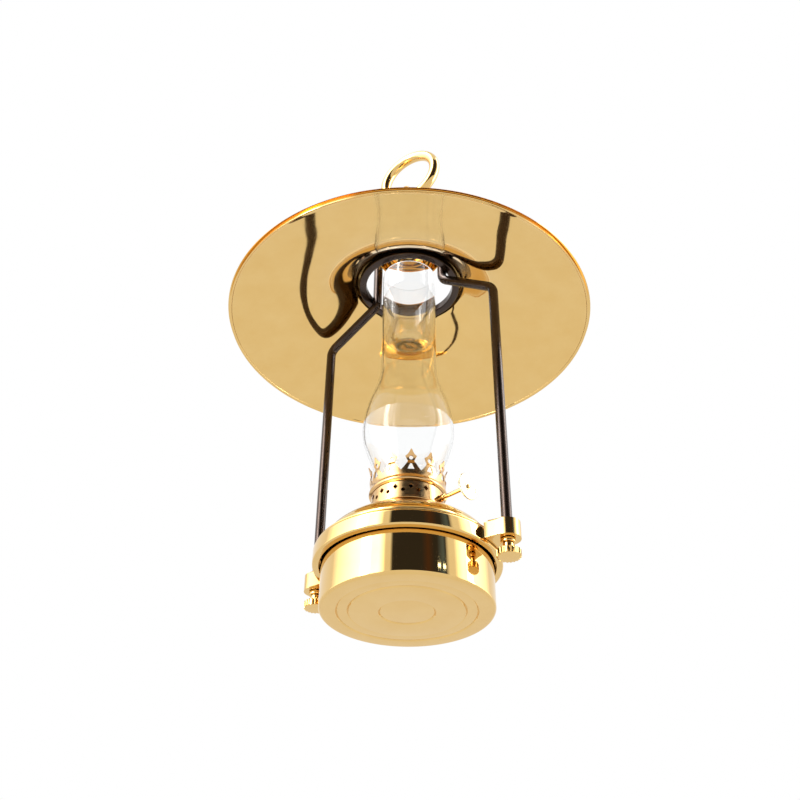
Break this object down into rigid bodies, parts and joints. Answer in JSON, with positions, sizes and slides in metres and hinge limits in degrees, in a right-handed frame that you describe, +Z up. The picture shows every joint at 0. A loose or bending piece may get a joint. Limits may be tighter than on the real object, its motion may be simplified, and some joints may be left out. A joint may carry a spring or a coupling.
{
  "type": "ship lantern",
  "caption": "Hanging oil lamp for a ship's cabin: brass tank, wick burner and glass chimney under a wide conical shade, carried by a two-rod frame with a hanging ring.",
  "frame": {"origin": "centre of the tank's flat bottom, which is the lowest face of the lamp", "axes": "+Z up along the lamp's axis; +X runs from the axis to the right-hand rod of the frame, so the two rods and the hanging ring stand in the XZ plane"},
  "size_m": [0.2462, 0.2462, 0.3853],
  "materials": {
    "polished_brass": "polished and lacquered",
    "pale_brass": "satin pale brass",
    "dark_bronze": "glossy dark bronze",
    "clear_glass": "clear blown glass",
    "cotton": "flat woven wick",
    "cork_rubber": "matt"
  },
  "bodies": {
    "lamp": {"tank_cup": "polished_brass", "tank_dome": "polished_brass", "tank_collar": "polished_brass", "carrier_band": "polished_brass", "ear_left": "polished_brass", "ear_right": "polished_brass", "arm_left": "dark_bronze", "arm_right": "dark_bronze", "shade_ring": "dark_bronze", "shade": "polished_brass", "smoke_bell": "polished_brass", "bell_spacer": "polished_brass", "bell_screw": "polished_brass", "frame_hub": "polished_brass", "hanging_eye": "polished_brass"},
    "hanger": {"hanging_ring": "polished_brass"},
    "left_washer": {"washer_left": "polished_brass"},
    "right_washer": {"washer_right": "polished_brass"},
    "left_nut": {"thumb_nut_left": "polished_brass"},
    "right_nut": {"thumb_nut_right": "polished_brass"},
    "gasket": {"burner_gasket": "cork_rubber"},
    "burner": {"burner_base": "polished_brass", "burner_drum": "polished_brass", "air_plate": "polished_brass", "gallery": "polished_brass", "flame_spreader": "polished_brass", "wick_tube": "polished_brass", "spindle_gland": "polished_brass"},
    "winder": {"wick_spindle": "polished_brass", "wick_knob": "pale_brass"},
    "wick": {"wick": "cotton"},
    "glass": {"chimney": "clear_glass"}
  },
  "joints": [
    {"name": "hanging_ring_swing", "type": "hinge", "parent": "lamp", "child": "hanger", "pos_m": [0, 0, 0.3378], "axis": [1, 0, 0], "range_deg": [-100, 100]},
    {"name": "left_nut_travel", "type": "slide", "parent": "lamp", "child": "left_washer", "axis": [0, 0, -1], "range_m": [0, 0.005]},
    {"name": "left_nut_turn", "type": "hinge", "parent": "left_washer", "child": "left_nut", "pos_m": [-0.0649, 0, 0.0174], "axis": [0, 0, -1], "range_deg": [0, 2520]},
    {"name": "right_nut_travel", "type": "slide", "parent": "lamp", "child": "right_washer", "axis": [0, 0, -1], "range_m": [0, 0.005]},
    {"name": "right_nut_turn", "type": "hinge", "parent": "right_washer", "child": "right_nut", "pos_m": [0.0649, 0, 0.0174], "axis": [0, 0, -1], "range_deg": [0, 2520]},
    {"name": "burner_rise", "type": "slide", "parent": "lamp", "child": "gasket", "axis": [0, 0, 1], "range_m": [0, 0.00376]},
    {"name": "burner_turn", "type": "hinge", "parent": "gasket", "child": "burner", "pos_m": [0, 0, 0.0605], "axis": [0, 0, 1], "range_deg": [0, 900]},
    {"name": "wick_winder_turn", "type": "hinge", "parent": "burner", "child": "winder", "pos_m": [0.03015, -0.00203, 0.0665], "axis": [0.9826, -0.1857, 0], "range_deg": [-114, 274]},
    {"name": "wick_travel", "type": "slide", "parent": "burner", "child": "wick", "axis": [0, 0, 1], "range_m": [-0.012, 0.005]},
    {"name": "chimney_lift", "type": "slide", "parent": "burner", "child": "glass", "axis": [0, 0, 1], "range_m": [0, 0.017]}
  ],
  "couplings": [
    {"joint": "left_nut_travel", "follows": "left_nut_turn", "m_per_rad": 0.00011141},
    {"joint": "right_nut_travel", "follows": "right_nut_turn", "m_per_rad": 0.00011141},
    {"joint": "burner_rise", "follows": "burner_turn", "m_per_rad": 0.00023873},
    {"joint": "wick_travel", "follows": "wick_winder_turn", "m_per_rad": -0.0025}
  ]
}
